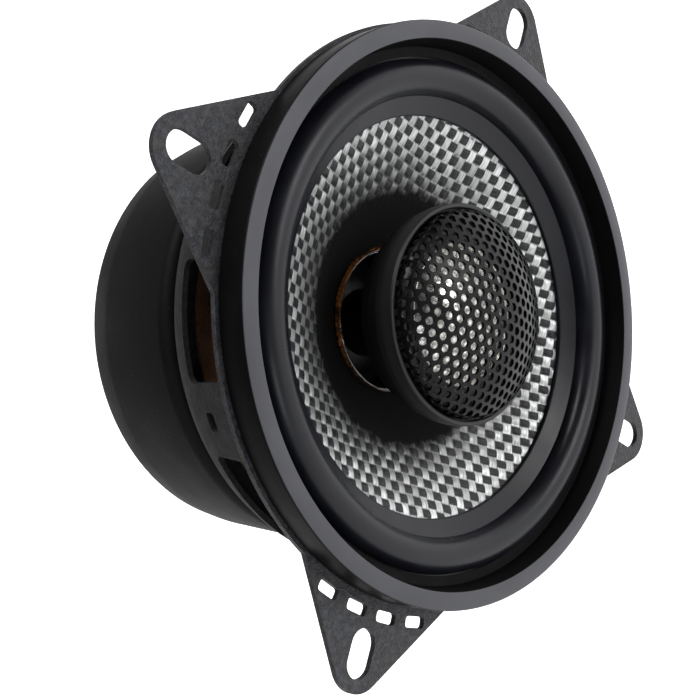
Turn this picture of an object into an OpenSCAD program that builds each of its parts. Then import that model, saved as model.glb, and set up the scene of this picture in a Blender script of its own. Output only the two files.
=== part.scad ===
// Four inch coaxial car loudspeaker: a woven cone driver with a dome tweeter on a centre post.
// Every sub-part is drawn with the speaker's axis along Z, its front towards +Z and the rear of
// the mounting flange at z = 0. face_forward() then turns it so that the front faces -Y.

/* [Mounting flange] */
// Radius of the round flange between the ears
flange_r = 51.6; // [51.2:0.1:51.9]
// Thickness of the pressed steel sheet
sheet_t = 1; // [0.8:0.1:1.1]
// Distance from the axis to the centre of each screw slot
slot_r = 60.3; // [60:0.1:60.6]
// Width of a screw slot
slot_w = 5.4; // [4.8:0.1:5.6]
// Length of a screw slot from end to end
slot_len = 8.4; // [7.4:0.1:8.6]
// Distance from the axis to the tip of an ear
ear_tip_r = 66.8; // [66.6:0.1:68]
// Radius of the rounded tip of an ear
ear_tip_round = 5.8; // [5.4:0.1:6]

/* [Basket] */
// Radius of the basket wall where it passes through the panel
wall_r = 46.6; // [46.2:0.1:46.8]
// Depth from the rear of the flange to the rear of the basket floor
basket_depth = 22.4; // [22:0.1:22.8]
// Length of a window along the wall
window_w = 20; // [16:0.5:20.5]
// Height of a window along the axis
window_h = 9.6; // [8:0.1:9.8]

/* [Trim ring] */
// Outer radius of the trim ring
ring_r = 51; // [50.5:0.1:51]
// Height of the ring's front face above the rear of the flange
ring_front = 6.3; // [5.9:0.1:6.6]

/* [Cone] */
// Radius at which the visible weave ends under the surround
weave_r = 35.8; // [35.4:0.1:36.2]
// Thickness of the woven cone
cone_t = 0.6; // [0.5:0.05:0.8]

/* [Voice coil] */
// Inner radius of the voice coil former
former_r = 12.7; // [12.6:0.05:12.8]
// Height of the winding
winding_h = 9; // [7:0.5:9]

/* [Motor] */
// Radius of the ferrite magnet
magnet_r = 36.5; // [36:0.1:36.6]
// Height of the ferrite magnet
magnet_h = 18; // [16:0.5:18]
// Thickness of the steel plate in front of the magnet
plate_t = 5; // [4:0.5:5]
// Radius of the rubber boot at its front lip
boot_front_r = 41.7; // [41:0.1:42]
// Radius of the rubber boot at its rear
boot_rear_r = 38.9; // [38.7:0.1:39.2]

/* [Tweeter] */
// Outer radius of the tweeter housing's front rim
pod_r = 19.5; // [19.2:0.1:19.7]
// Radius of the metal dome
dome_r = 12.5; // [12.3:0.05:12.6]
// Height of the grille's crown above the rear of the flange
grille_top = 13.8; // [13:0.1:14.2]

/* [Hidden] */
$fn = 96;

eps = 0.01;
glue_gap = 0.06;                // room for the glue line between a moving piece and a fixed one
ears = [0, 90, 180, 270];       // directions of the four ears about the axis
webs = [45, 135, 225];          // directions of the narrow webs between the ears
window_turn = 23.5;             // angle from an ear to the middle of the window beside it
window_mid = -11.8;
small_slot_r = 53.5;            // row of four small slots across the root of each ear
small_slot_w = 4.6;
small_slot_h = 2;
small_slot_pitch = 7.73;
ear_root_angle = 20;
cutout_len = 3;                 // straight stretch of the wall that centres in the panel
floor_r = 42.3;
floor_hole_r = 15.4;
rivet_ring_r = 27;

surround_t = 0.8;
roll_r = 42.1;                  // radius of the circle through the middle of the half roll
roll_outer = 3.2;
roll_z = 1.55;
foot_r = 47.1;
cone_edge_r = 38.4;
neck_r = former_r + 0.25;
neck_z = -13.4;
cone_arc_r = 230;               // the cone's profile is an arc of this radius

plate_z = -basket_depth;                    // front of the top plate
magnet_z = plate_z - plate_t;               // front of the magnet
yoke_z = magnet_z - magnet_h;               // front of the yoke's back plate
yoke_t = 5.4;
yoke_rear = yoke_z - yoke_t;
boot_front_z = -25.6;
boot_floor_t = 2.2;
boot_rear_z = yoke_rear - boot_floor_t;
boot_inner_r = magnet_r + 0.2;
boot_groove_r = boot_inner_r + 1.9;
plate_r = 36;
pole_r = 12.3;
gap_r = 14;
former_t = 0.25;
winding_t = 0.6;
former_top = neck_z + 0.5;
winding_mid = plate_z - plate_t / 2;
former_bottom = winding_mid - winding_h / 2 - 1.2;
spider_z = -16.6;
spider_t = 0.5;
spider_r = 38.4;
cup_r = 34.4;                   // foot of the spider's riser

tube_r = 4;
tube_bore = 2.2;
tube_top = -5.5;
pole_top = plate_z + 0.2;
spacer_r = 6.4;
nut_t = 2.8;
washer_t = 0.7;
nut_recess_r = 8;
nut_seat = yoke_rear + nut_t + washer_t + 1.2;

pod_rear_z = -1.2;
boss_r = 14;
boss_rear_z = -6.4;
seat_r = 15.35;                 // bore that takes the tweeter's steel cup and its leads
seat_wall_r = 16.3;
seat_rear_z = -4;
pod_rim_z = 6.4;
pod_mouth_r = 18.6;
shelf_z = 3.6;                  // seat of the tweeter's mounting ring
pot_r = 14.3;
pot_z = -2.2;
pot_top = shelf_z;
tweeter_gap_r = 13.15;
tweeter_pole_r = 11.7;
tweeter_former_r = 12.05;
dome_z = 4.5;
dome_h = 4.6;
dome_t = 0.3;
grille_side_r = 18.3;
grille_edge_z = 7.7;
grille_foot_z = 5.2;
grille_t = 0.7;

board_turn = 315;               // direction of the pocket that carries the terminals
pad_x = 42.5;                   // inner face of the flat pad left between the pocket's two openings
pad_t = 0.9;
pad_half = 3.6;
pocket_half = 10.2;
pocket_front = -5;
pocket_rear = -20.6;
board_x = pad_x + pad_t;        // inner face of the terminal board
board_t = 1;
board_w = 19.2;
board_front = -6;
board_rear = -17.6;
board_rivets_z = [-8.2, -15.4];
tab_t = 0.8;
tab_across = 7;                 // distance of the push-on tabs from the middle of the board
tab_front = -9;
tab_len = 19.4;
tab_taper = 1.4;
tab_hole_z = -26.6;
tab_rivet_z = -12;
positive_tab_w = 4.8;
negative_tab_w = 2.8;
capacitor_r = 2.6;
capacitor_len = 11;
capacitor_x = 39.2;
capacitor_z = -8.6;
lead_r = 0.45;
tinsel_r = 0.45;

function radial(r, angle, z) = [r * cos(angle), r * sin(angle), z];
function arc_points(cx, cz, r, a0, a1, n) =
    [for (i = [0 : n]) let (a = a0 + (a1 - a0) * i / n) [cx + r * cos(a), cz + r * sin(a)]];
function reversed(list) = [for (i = [len(list) - 1 : -1 : 0]) list[i]];
// height of the cone's front face at radius r: an arc that is shallow outside and steep inside
cone_chord = [weave_r - 13.6, 12.1];
cone_mid = [(weave_r + 13.6) / 2, -1.3 - cone_chord[1] / 2];
cone_sag = sqrt(pow(cone_arc_r, 2) - pow(norm(cone_chord) / 2, 2));
cone_centre = cone_mid + cone_sag * [cone_chord[1], -cone_chord[0]] / norm(cone_chord);
function cone_front(r) = cone_centre[1] + sqrt(pow(cone_arc_r, 2) - pow(r - cone_centre[0], 2));

module face_forward() {
    rotate([90, 0, 0]) children();
}

module turned(points) {
    rotate_extrude() polygon(points);
}

module ring(r_in, r_out, z0, z1) {
    translate([0, 0, z0]) difference() {
        cylinder(r = r_out, h = z1 - z0);
        translate([0, 0, -1]) cylinder(r = r_in, h = z1 - z0 + 2);
    }
}

module disc(r, z0, z1) {
    translate([0, 0, z0]) cylinder(r = r, h = z1 - z0);
}

// flat outline with four rounded corners
module rounded_rect(w, h, r) {
    square([w - 2 * r, h], center = true);
    square([w, h - 2 * r], center = true);
    for (x = [-1, 1], y = [-1, 1])
        translate([x * (w / 2 - r), y * (h / 2 - r)]) circle(r = r, $fn = 32);
}

// an outline pushed outwards through the basket wall, w across and h along the axis
module through_wall(angle, z, across = 0) {
    rotate([0, 0, angle]) translate([38, across, z]) rotate([90, 0, 90])
        linear_extrude(height = 14) children();
}

module ear_outline() {
    tip = ear_tip_r - ear_tip_round;
    root = [flange_r * cos(ear_root_angle), flange_r * sin(ear_root_angle)];
    from_tip = [root[0] - tip, root[1]];
    // the sides end a little inside the rounded tip, so that the two shapes cross cleanly
    touch_r = ear_tip_round - 0.06;
    touch = atan2(from_tip[1], from_tip[0]) - acos(touch_r / norm(from_tip));
    corner = [tip + touch_r * cos(touch), touch_r * sin(touch)];
    polygon([[40, -12], [root[0], -root[1]], [corner[0], -corner[1]], corner, root, [40, 12]]);
    translate([tip, 0]) circle(r = ear_tip_round, $fn = 48);
}

module flange_sheet() {
    difference() {
        linear_extrude(height = sheet_t) {
            circle(r = flange_r);
            for (a = ears) rotate(a) ear_outline();
        }
        for (a = ears) rotate([0, 0, a]) {
            translate([slot_r, 0, -1]) linear_extrude(height = 3) {
                square([slot_len - slot_w, slot_w], center = true);
                for (x = [-1, 1]) translate([x * (slot_len - slot_w) / 2, 0])
                    circle(r = slot_w / 2, $fn = 48);
            }
            for (k = [-1.5 : 1 : 1.5]) rotate([0, 0, k * small_slot_pitch])
                translate([small_slot_r, 0, -1]) linear_extrude(height = 3)
                    rounded_rect(small_slot_h, small_slot_w, 0.6);
        }
        translate([0, 0, -1]) cylinder(r = wall_r - 0.5, h = 3);
    }
}

// the drawn wall and the floor of the basket
module basket_shell() {
    turned([
        [wall_r - sheet_t, sheet_t], [wall_r, sheet_t], [wall_r, -cutout_len], [44.5, -17.3], [43.7, -20.2],
        [43.1, -21.6], [floor_r, -basket_depth], [floor_hole_r, -basket_depth],
        [floor_hole_r, sheet_t - basket_depth], [floor_r - 0.6, sheet_t - basket_depth],
        [42.5, -20.7], [43.5, -17.3], [wall_r - sheet_t, -cutout_len]
    ]);
}

module rivet_places() {
    for (a = [22.5 : 90 : 360]) rotate([0, 0, a]) translate([rivet_ring_r, 0, 0]) children();
}

// a box placed by its distance from the axis, its half width across and its height
module box_at(angle, x0, x1, half, z0, z1) {
    rotate([0, 0, angle]) translate([x0, -half, z0]) cube([x1 - x0, 2 * half, z1 - z0]);
}

module basket() color([0.2, 0.2, 0.21]) face_forward() {
    difference() {
        union() {
            difference() {
                union() {
                    flange_sheet();
                    basket_shell();
                }
                for (a = ears, s = [-1, 1]) through_wall(a + s * window_turn, window_mid)
                    rounded_rect(window_w, window_h, 1.2);
                for (a = webs) through_wall(a, -13) rounded_rect(3.4, 2.2, 0.5);
                box_at(board_turn, 41, 50, pocket_half, pocket_rear, pocket_front);
            }
            box_at(board_turn, pad_x, board_x, pad_half, -21, pocket_front + 0.4);
            box_at(board_turn, pad_x, 45.9, pad_half, pocket_front - 0.6, pocket_front + 0.4);
        }
        for (z = board_rivets_z) on_board(0, z) disc(1, -2, 1, $fn = 32);
        rivet_places() translate([0, 0, -basket_depth - 1]) cylinder(r = 1.6, h = 4, $fn = 32);
    }
}

module trim_ring() color([0.3, 0.3, 0.31]) face_forward() {
    turned(concat(
        [[foot_r + 0.2, sheet_t], [ring_r - 0.3, sheet_t], [ring_r, sheet_t + 0.3]],
        arc_points(ring_r - 0.5, ring_front - 0.5, 0.5, 0, 85, 5),
        arc_points(48.1, ring_front - 0.1, 0.4, 90, 180, 5),
        [[47.2, 2.9], [45.5, 2.6], [45.5, 2], [foot_r + 0.2, 2]]
    ));
}

module surround() color([0.15, 0.15, 0.16]) face_forward() {
    roll_in = roll_outer - surround_t;
    foot_z = sheet_t + glue_gap;
    flange_z = cone_front(weave_r) + 0.12;
    turned(concat(
        [[foot_r, foot_z], [foot_r, foot_z + surround_t]],
        arc_points(roll_r, roll_z, roll_outer, 0, 188, 24),
        [[weave_r + 0.2, flange_z + surround_t], [weave_r, flange_z + 0.5], [weave_r, flange_z],
         [cone_edge_r + 0.2, cone_front(cone_edge_r) + 0.2]],
        reversed(arc_points(roll_r, roll_z, roll_in, 0, 190, 24)),
        [[roll_r + roll_in + 0.3, foot_z]]
    ));
}

module cone() color([0.55, 0.56, 0.56]) face_forward() {
    steps = 24;
    front = [for (i = [0 : steps])
        let (r = cone_edge_r + (neck_r + glue_gap - cone_edge_r) * i / steps) [r, cone_front(r)]];
    lift = cone_t * 1.12;
    turned(concat(front, [for (p = reversed(front)) [p[0], p[1] - lift]]));
}

module neck_glue_ring() color([0.45, 0.24, 0.08]) face_forward() {
    turned([
        [neck_r + 0.07, cone_front(13.6) + 0.75], [neck_r + 0.4, cone_front(13.6) + 0.85],
        [neck_r + 1.3, cone_front(neck_r + 1.3) + 0.05], [neck_r + 0.07, cone_front(neck_r + 0.07) + 0.05]
    ]);
}

module voice_coil_former() color([0.75, 0.75, 0.76]) face_forward()
    ring(former_r, former_r + former_t, former_bottom, former_top);

module voice_coil_winding() color([0.7, 0.35, 0.15]) face_forward() {
    r = former_r + former_t;
    ring(r, r + winding_t, winding_mid - winding_h / 2, winding_mid + winding_h / 2);
}

module spider() color([0.45, 0.26, 0.12]) face_forward() {
    waves = 5;
    inner = neck_r + glue_gap;
    field = cup_r - 1.6 - (inner + 1.6);
    floor_z = sheet_t - basket_depth + glue_gap;
    wave = [for (i = [0 : 60]) let (t = i / 60)
        [inner + 1.6 + field * t, spider_z + 0.55 * sin(360 * waves * t)]];
    turned(concat(
        [[inner, spider_z]], wave,
        [[cup_r - 0.6, spider_z], [cup_r, floor_z], [spider_r, floor_z], [spider_r, floor_z + spider_t],
         [cup_r + 0.35, floor_z + spider_t], [cup_r - 0.2, spider_z + spider_t]],
        [for (p = reversed(wave)) [p[0], p[1] + spider_t]], [[inner, spider_z + spider_t]]
    ));
}

module top_plate() color([0.6, 0.6, 0.58]) face_forward() {
    difference() {
        ring(gap_r, plate_r, magnet_z, plate_z);
        rivet_places() translate([0, 0, magnet_z - 1]) cylinder(r = 1.6, h = plate_t + 2, $fn = 32);
    }
}

module magnet() color([0.16, 0.16, 0.17]) face_forward()
    ring(16.5, magnet_r, yoke_z, magnet_z);

module yoke() color([0.6, 0.6, 0.58]) face_forward() {
    difference() {
        union() {
            disc(plate_r, yoke_rear, yoke_z);
            disc(pole_r, yoke_z - eps, pole_top - 1);
            translate([0, 0, pole_top - 1]) cylinder(r1 = pole_r, r2 = pole_r - 0.6, h = 1);
        }
        disc(tube_r + 0.05, yoke_rear - 1, pole_top + 1);
        disc(nut_recess_r, yoke_rear - 1, nut_seat);
        rotate([0, 0, board_turn]) translate([0, -1.6, yoke_rear - 1]) cube([plate_r + 1, 3.2, 2.6]);
    }
}

module magnet_boot() color([0.12, 0.12, 0.13]) face_forward() {
    difference() {
        turned(concat(
            [[0, boot_rear_z]],
            arc_points(boot_rear_r - 2.4, boot_rear_z + 2.4, 2.4, 270, 356, 8),
            [[boot_rear_r + 1.2, -46]],
            arc_points(boot_front_r - 1, boot_front_z - 1, 1, 0, 90, 6),
            [[boot_inner_r + 0.6, boot_front_z], [boot_inner_r, boot_front_z - 0.8],
             [boot_inner_r, yoke_rear], [0, yoke_rear]]
        ));
        rotate([0, 0, board_turn]) translate([plate_r - 1, -1.6, yoke_rear])
            cube([boot_groove_r - plate_r + 1, 3.2, 30]);
    }
}

module basket_rivets() color([0.7, 0.7, 0.7]) face_forward() {
    rivet_places() {
        disc(1.6, magnet_z, sheet_t - basket_depth + 0.1, $fn = 32);
        translate([0, 0, sheet_t - basket_depth]) cylinder(r1 = 2.6, r2 = 1.9, h = 0.8, $fn = 32);
    }
}

module post_tube() color([0.75, 0.7, 0.5]) face_forward()
    ring(tube_bore, tube_r, nut_seat - washer_t - nut_t, tube_top);

module post_spacer() color([0.1, 0.1, 0.1]) face_forward() {
    turned([
        [tube_r + 0.02, pole_top], [9.6, pole_top], [9.6, pole_top + 1], [spacer_r, pole_top + 2.4],
        [spacer_r, boss_rear_z], [tube_r + 0.02, boss_rear_z]
    ]);
}

module post_nut() color([0.75, 0.7, 0.5]) face_forward() {
    difference() {
        translate([0, 0, nut_seat - washer_t - nut_t]) cylinder(r = 7, h = nut_t, $fn = 6);
        disc(tube_r + 0.01, yoke_rear - 1, nut_seat);
    }
}

module post_washer() color([0.7, 0.7, 0.7]) face_forward()
    ring(tube_r + 0.15, 7.6, nut_seat - washer_t, nut_seat);

module on_board(across, z) {
    rotate([0, 0, board_turn]) translate([board_x, across, z]) rotate([90, 0, 90]) children();
}

module terminal_board() color([0.35, 0.22, 0.12]) face_forward() {
    mid = (board_front + board_rear) / 2;
    difference() {
        on_board(0, mid) linear_extrude(height = board_t)
            rounded_rect(board_w, board_front - board_rear, 1.5);
        for (z = board_rivets_z) on_board(0, z) disc(1, -1, board_t + 1, $fn = 32);
        for (s = [-1, 1]) on_board(s * tab_across, tab_rivet_z) disc(1.1, -1, board_t + 1, $fn = 32);
    }
}

// flat push-on tab of width w with its rivet, running to the rear from the terminal board
module terminal_tab(across, w) {
    half = w / 2;
    tip = half - 0.9;
    rear = tab_front - tab_len;
    outer = board_t + tab_t;
    difference() {
        on_board(across, 0) translate([0, 0, board_t]) linear_extrude(height = tab_t)
            polygon([
                [-half, tab_front], [half, tab_front], [half, rear], [tip, rear - tab_taper],
                [-tip, rear - tab_taper], [-half, rear]
            ]);
        on_board(across, tab_hole_z) disc(0.9, board_t - 1, outer + 1, $fn = 32);
    }
    on_board(across, tab_rivet_z) {
        disc(1.6, -0.5, 0, $fn = 32);
        disc(1.1, -0.5, outer + 0.4, $fn = 32);
        disc(1.4, outer, outer + 0.4, $fn = 32);
    }
}

module terminal_positive() color([0.8, 0.75, 0.55]) face_forward()
    terminal_tab(-tab_across, positive_tab_w);

module terminal_negative() color([0.8, 0.8, 0.8]) face_forward()
    terminal_tab(tab_across, negative_tab_w);

module terminal_rivets() color([0.75, 0.75, 0.76]) face_forward() {
    for (z = board_rivets_z) on_board(0, z) {
        disc(1.6, -pad_t - 0.5, -pad_t, $fn = 32);
        disc(1, -pad_t - 0.5, board_t + 0.6, $fn = 32);
        disc(1.7, board_t, board_t + 0.6, $fn = 32);
    }
}

// round wire of radius r swept along the points of a route; side is never along the wire
module wire(route, r, side) {
    last = len(route) - 1;
    sides = 8;
    rings = [for (i = [0 : last])
        let (t = route[min(i + 1, last)] - route[max(i - 1, 0)])
        let (u = cross(t, side) / norm(cross(t, side)))
        let (v = cross(u, t) / norm(cross(u, t)))
        for (k = [0 : sides - 1]) route[i] + r * (cos(360 * k / sides) * u + sin(360 * k / sides) * v)];
    walls = [for (i = [0 : last - 1], k = [0 : sides - 1])
        let (n = (k + 1) % sides)
        [i * sides + k, i * sides + n, (i + 1) * sides + n, (i + 1) * sides + k]];
    polyhedron(rings, concat(
        walls, [[for (k = [sides - 1 : -1 : 0]) k]], [[for (k = [0 : sides - 1]) last * sides + k]]));
}

// points given as distance from the axis, distance across and height, seen along a direction
function across_points(angle, list) =
    [for (p = list) [p[0] * cos(angle) - p[1] * sin(angle), p[0] * sin(angle) + p[1] * cos(angle), p[2]]];

// routes of the leads, from the terminals inwards; side is -1 for positive and 1 for negative
function tinsel_route(side) = [for (p = [
        [42.75, 7, -12.9], [41.6, 7.1, -13.5], [40, 7.1, -13.9], [38, 6.9, -14], [36, 6.7, -13.6],
        [34, 6.5, -13.1], [32, 6.2, -12.6], [30, 5.9, -12.1], [28, 5.6, -11.6], [26, 5.3, -10.8],
        [24.4, 5, -10], [23, 4.7, -9.6]
    ]) [p[0], side * p[1], p[2]]];
// from the capacitor or the negative terminal, out of the pocket and back to the boot's lip
positive_start = [
    [39.2, 6.6, -8.6], [39, 7, -9.6], [38.9, 6.5, -11.2], [39.2, 5.4, -12.9], [40.2, 4.8, -15],
    [41.4, 4.5, -17.2], [42.8, 4.3, -18.8], [43.75, 4.1, -19.9], [44.15, 3, -21.3], [43.9, 1.2, -23],
    [42.8, 0, -24.2], [41, -0.7, -24.6], [39, -0.8, -24.8]
];
negative_start = [
    [42.6, 7, -11], [41.6, 6.6, -12], [41.3, 6.1, -14.6], [41.8, 5.8, -16.8], [42.8, 5.5, -18.6],
    [43.75, 5.2, -19.9], [44.15, 4.1, -21.3], [43.9, 2.6, -23], [42.8, 1.5, -24.2], [41, 1, -24.6],
    [39, 0.8, -24.8]
];
// beside the magnet under the boot, through the hollow post and up into the housing
function tweeter_route(side) = concat(side < 0 ? positive_start : negative_start, [for (p = [
        [37.9, -25.3], [37.4, -26.6], [37.3, -28.4], [37.3, -33], [37.3, -38], [37.3, -44], [37.3, -48.4],
        [36.6, -49.9], [35, -50.2], [28, -50.2], [18, -50.2], [8, -50.2], [2.6, -50.2], [1, -49.4],
        [0.2, -47], [0, -42], [0, -34], [0, -24], [0, -14], [0, -7.5], [0.6, -5.4], [2, -4.95],
        [6, -4.95], [10.6, -4.95], [12.1, -4.6], [12.6, -3.6], [13.1, -2.85], [14, -2.75],
        [14.7, -2.2], [14.8, -1.2], [14.8, 0.6], [14.8, 3.5]
    ]) [p[0], side * 0.7, p[1]]]);
jumper_route = [
    [39.2, -6.6, -8.6], [39.6, -7.3, -9], [40.6, -7.6, -9.5], [41.7, -7.4, -10.2], [42.6, -7, -11]
];

module tinsel_lead(side) {
    wire(across_points(board_turn, tinsel_route(side)), tinsel_r, [0, 0, 1]);
}

module tinsel_lead_positive() color([0.75, 0.45, 0.25]) face_forward() tinsel_lead(-1);

module tinsel_lead_negative() color([0.75, 0.45, 0.25]) face_forward() tinsel_lead(1);

module tweeter_lead(side) {
    wire(across_points(board_turn, tweeter_route(side)), lead_r, radial(1, board_turn + 90, 0));
}

module tweeter_lead_positive() color([0.6, 0.1, 0.1]) face_forward() tweeter_lead(-1);

module tweeter_lead_negative() color([0.1, 0.1, 0.1]) face_forward() tweeter_lead(1);

// lies across the back of the terminal pad, with a leg at each end
module capacitor() color([0.15, 0.2, 0.45]) face_forward() {
    half = capacitor_len / 2;
    groove = half - 1.2;
    rotate([0, 0, board_turn]) translate([capacitor_x, 0, capacitor_z]) rotate([90, 0, 0]) {
        turned([
            [0, -half], [capacitor_r - 0.4, -half], [capacitor_r, 0.4 - half], [capacitor_r, groove - 0.4],
            [capacitor_r - 0.3, groove], [capacitor_r, groove + 0.4], [capacitor_r - 0.4, half], [0, half]
        ]);
        disc(0.35, -half - 0.9, half + 0.9, $fn = 24);
    }
}

module capacitor_jumper() color([0.6, 0.1, 0.1]) face_forward()
    wire(across_points(board_turn, jumper_route), lead_r, [0, 0, 1]);

module tweeter_housing() color([0.09, 0.09, 0.1]) face_forward() {
    difference() {
        turned(concat(
            [[pod_mouth_r, grille_foot_z], [pod_mouth_r, pod_rim_z - 0.3]],
            arc_points(pod_mouth_r + 0.45, pod_rim_z - 0.45, 0.45, 170, 10, 8),
            [[pod_r, pod_rim_z - 0.6], [pod_r - 0.3, 2.4], [pod_r - 1.3, -0.3]],
            arc_points(17.2, -0.2, 1, -20, -90, 5),
            [[seat_wall_r + 0.3, pod_rear_z], [seat_wall_r, pod_rear_z - 0.3],
             [seat_wall_r, seat_rear_z + 0.4], [seat_wall_r - 0.4, seat_rear_z],
             [boss_r + 0.3, seat_rear_z], [boss_r, seat_rear_z - 0.3], [boss_r, boss_rear_z + 0.5],
             [boss_r - 0.5, boss_rear_z], [tube_r + 0.02, boss_rear_z], [tube_r + 0.02, pot_z],
             [seat_r, pot_z], [seat_r, 0.2],
             [16.2, 0.2], [16.6, 0.8], [16.6, shelf_z], [17.6, shelf_z], [17.6, grille_foot_z]]
        ));
        rotate([0, 0, board_turn]) translate([0, -1.3, 0]) {
            translate([0, 0, -5.5]) cube([13.3, 2.6, 3.8]);
            translate([0, 0, -3.35]) cube([15.3, 2.6, 1.7]);
        }
    }
}

module tweeter_cup() color([0.62, 0.62, 0.6]) face_forward() {
    turned([
        [0, pot_z], [pot_r - 0.6, pot_z], [pot_r, pot_z + 0.6], [pot_r, pot_top], [tweeter_gap_r, pot_top],
        [tweeter_gap_r, 1.4], [13.4, 1.1], [13.4, pot_z + 1.2], [0, pot_z + 1.2]
    ]);
}

module tweeter_magnet() color([0.7, 0.7, 0.72]) face_forward()
    disc(10.8, pot_z + 1.2, 1.5);

module tweeter_pole_plate() color([0.62, 0.62, 0.6]) face_forward()
    disc(tweeter_pole_r, 1.5, 3.5);

module tweeter_mount_ring() color([0.12, 0.12, 0.13]) face_forward() {
    turned([
        [13.7, shelf_z], [17.5, shelf_z], [17.5, 4.9], [16.9, 5], [16, 4.7], [15.6, 4.4], [13.7, 4.4]
    ]);
}

module tweeter_suspension() color([0.2, 0.2, 0.2]) face_forward() {
    film = 0.18;
    roll = 0.62;
    turned(concat(
        [[15.3, 4.4 + glue_gap], [15.3, 4.4 + glue_gap + film], [14.05 + film, 4.4 + glue_gap + film]],
        arc_points(13.4, 4.75, roll + film, -8, 180, 14),
        reversed(arc_points(13.4, 4.75, roll, -20, 180, 14)),
        [[14.05 + film - 0.1, 4.4 + glue_gap]]
    ));
}

module tweeter_former() color([0.75, 0.75, 0.76]) face_forward()
    ring(tweeter_former_r, tweeter_former_r + 0.2, 0.5, dome_z);

module tweeter_winding() color([0.7, 0.35, 0.15]) face_forward()
    ring(tweeter_former_r + 0.2, tweeter_former_r + 0.6, 1.1, 3.7);

module tweeter_dome() color([0.8, 0.8, 0.8]) face_forward() {
    cap_r = (pow(dome_r, 2) + pow(dome_h, 2)) / (2 * dome_h);
    difference() {
        union() {
            intersection() {
                translate([0, 0, dome_z + dome_h - cap_r]) sphere(r = cap_r);
                disc(dome_r, dome_z, dome_z + dome_h + 1);
            }
            disc(dome_r, dome_z, dome_z + dome_t);
        }
        intersection() {
            translate([0, 0, dome_z + dome_h - cap_r]) sphere(r = cap_r - dome_t);
            disc(dome_r - dome_t, dome_z - 1, dome_z + dome_h + 1);
        }
    }
}

module tweeter_grille() color([0.1, 0.1, 0.1]) face_forward() {
    crown_h = grille_top - grille_edge_z;
    crown_r = (pow(grille_side_r, 2) + pow(crown_h, 2)) / (2 * crown_h);
    crown_z = grille_top - crown_r;
    inner_r = grille_side_r - grille_t;
    edge = asin(grille_side_r / crown_r);
    inner_edge = asin(inner_r / (crown_r - grille_t));
    turned(concat(
        [[grille_side_r, grille_foot_z], [grille_side_r, grille_edge_z]],
        arc_points(0, crown_z, crown_r, 90 - edge, 90, 20),
        reversed(arc_points(0, crown_z, crown_r - grille_t, 90 - inner_edge, 90, 20)),
        [[inner_r, grille_foot_z]]
    ));
}

basket();
trim_ring();
surround();
cone();
neck_glue_ring();
voice_coil_former();
voice_coil_winding();
spider();
top_plate();
magnet();
yoke();
magnet_boot();
basket_rivets();
post_tube();
post_spacer();
post_nut();
post_washer();
terminal_board();
terminal_positive();
terminal_negative();
terminal_rivets();
capacitor();
capacitor_jumper();
tinsel_lead_positive();
tinsel_lead_negative();
tweeter_lead_positive();
tweeter_lead_negative();
tweeter_housing();
tweeter_cup();
tweeter_magnet();
tweeter_pole_plate();
tweeter_mount_ring();
tweeter_suspension();
tweeter_former();
tweeter_winding();
tweeter_dome();
tweeter_grille();
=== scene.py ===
"""Four inch coaxial car loudspeaker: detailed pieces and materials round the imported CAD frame.

Pieces are worked out on the speaker's own axes, in millimetres: x right, y up and z from the
rear of the mounting flange towards the front. row() turns them into the frame's metres.
"""

from math import acos, asin, atan2, ceil, cos, degrees, hypot, pi, radians, sin, sqrt, tan

import bmesh
import bpy
import numpy as np
from mathutils import Matrix, Vector
from mathutils.geometry import delaunay_2d_cdt


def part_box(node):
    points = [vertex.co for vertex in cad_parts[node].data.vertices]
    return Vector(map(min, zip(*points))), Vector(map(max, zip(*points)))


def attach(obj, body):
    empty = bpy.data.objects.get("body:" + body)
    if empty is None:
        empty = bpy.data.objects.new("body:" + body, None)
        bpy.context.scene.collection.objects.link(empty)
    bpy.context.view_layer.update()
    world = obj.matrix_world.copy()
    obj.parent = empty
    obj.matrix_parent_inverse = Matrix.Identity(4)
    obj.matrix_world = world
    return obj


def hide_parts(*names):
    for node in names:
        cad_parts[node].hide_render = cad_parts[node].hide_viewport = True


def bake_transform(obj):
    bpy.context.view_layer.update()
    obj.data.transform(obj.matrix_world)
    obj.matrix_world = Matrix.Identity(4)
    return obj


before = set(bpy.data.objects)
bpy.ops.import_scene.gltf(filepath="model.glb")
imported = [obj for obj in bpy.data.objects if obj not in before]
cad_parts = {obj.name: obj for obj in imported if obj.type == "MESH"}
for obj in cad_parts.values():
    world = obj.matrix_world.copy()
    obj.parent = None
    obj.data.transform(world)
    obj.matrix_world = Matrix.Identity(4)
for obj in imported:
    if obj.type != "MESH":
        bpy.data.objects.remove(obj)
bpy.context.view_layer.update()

MM = 0.001
TURN = 2 * pi
norm = np.linalg.norm


# -------- sizes taken from the frame
def reach(node):
    """Outer radius, front and rear of a CAD node along the speaker's axis, in millimetres."""
    low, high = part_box(node)
    return high.x / MM, -low.y / MM, -high.y / MM


RING_R, RING_FRONT, _ = reach("trim_ring")
SPIDER_R, _, SPIDER_REAR = reach("spider")
BOOT_R, BOOT_FRONT, BOOT_REAR = reach("magnet_boot")
POD_R, POD_FRONT, POD_REAR = reach("tweeter_housing")
GRILLE_R, GRILLE_FRONT, GRILLE_REAR = reach("tweeter_grille")
DOME_R, DOME_FRONT, DOME_REAR = reach("tweeter_dome")
CONE_R, _, _ = reach("cone")
FORMER_R, FORMER_FRONT, FORMER_REAR = reach("voice_coil_former")
WINDING_R, WINDING_FRONT, WINDING_REAR = reach("voice_coil_winding")
FOOT_R, _, _ = reach("surround")
EAR_TIP_R, _, _ = reach("basket")

SHEET = 1.0  # thickness of the basket's pressed steel
FLOOR_Z, FLANGE_Z = -21.9, 0.5  # middle of the sheet at the floor and at the flange
EARS = (0, 90, 180, 270)
WINDOW_TURN = 23.5  # from an ear to the middle of the windows beside it
TERMINAL_TURN = 315
LEAD_X = 7.0  # the terminals' joints lie this far to each side of their middle


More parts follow.
